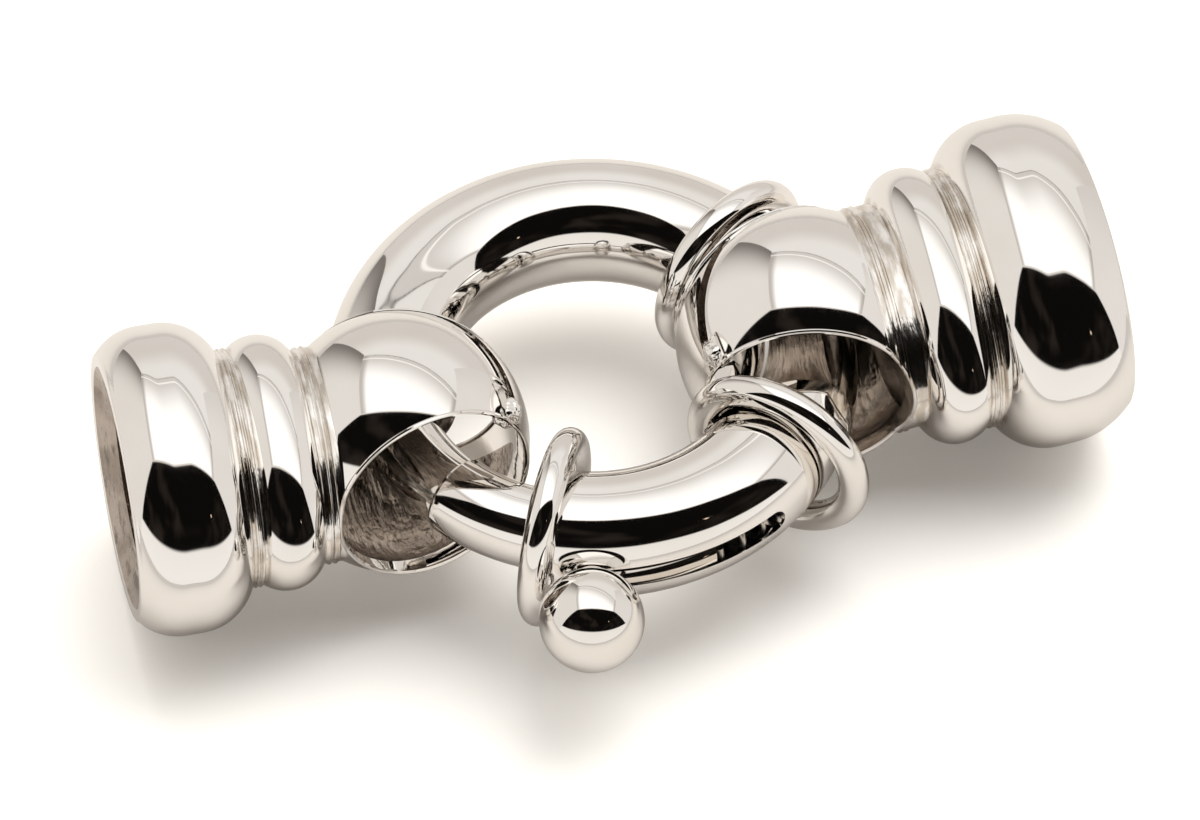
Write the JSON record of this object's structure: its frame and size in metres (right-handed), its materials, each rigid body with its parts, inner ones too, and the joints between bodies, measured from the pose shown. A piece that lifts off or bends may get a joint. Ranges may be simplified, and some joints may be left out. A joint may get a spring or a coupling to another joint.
{
  "type": "bolt ring clasp",
  "caption": "Large bolt ring clasp with a sprung curved bolt, a ball knob, three wire bands and a looped cord end cap on each side.",
  "frame": {"origin": "centre of the ring's eye, on the ring's mid plane", "axes": "+Z square to the ring, away from the surface it lies on; +X from the left cap side to the right cap side; the ball knob is on the -Y side"},
  "size_m": [0.0417, 0.0258, 0.0135],
  "materials": {
    "polished_metal": "mirror polished",
    "spring_steel": "drawn wire"
  },
  "bodies": {
    "ring": {"ring_tube": "polished_metal", "front_band": "polished_metal", "lower_right_band": "polished_metal", "upper_right_band": "polished_metal", "return_spring": "spring_steel", "spring_stop": "polished_metal"},
    "bolt": {"bolt": "polished_metal", "knob_stem": "polished_metal", "thumb_knob": "polished_metal"},
    "left_cap": {"left_end_cap": "polished_metal"},
    "right_cap": {"right_end_cap": "polished_metal"}
  },
  "joints": [
    {"name": "bolt_slide_round", "type": "hinge", "parent": "ring", "child": "bolt", "pos_m": [0, 0, 0], "axis": [0, 0, 1], "range_deg": [0, 42], "stiffness_Nm_per_rad": 0.02, "springref_deg": -22.92, "deforming": ["return_spring"]},
    {"name": "left_cap_swing", "type": "hinge", "parent": "ring", "child": "left_cap", "pos_m": [-0.0072, -0.00383, 0], "axis": [-0.4695, 0.8829, 0], "range_deg": [-30, 45]},
    {"name": "right_cap_swing", "type": "hinge", "parent": "ring", "child": "right_cap", "pos_m": [0.00802, 0.00149, 0], "axis": [0.1822, -0.9833, 0], "range_deg": [-15, 8]}
  ]
}
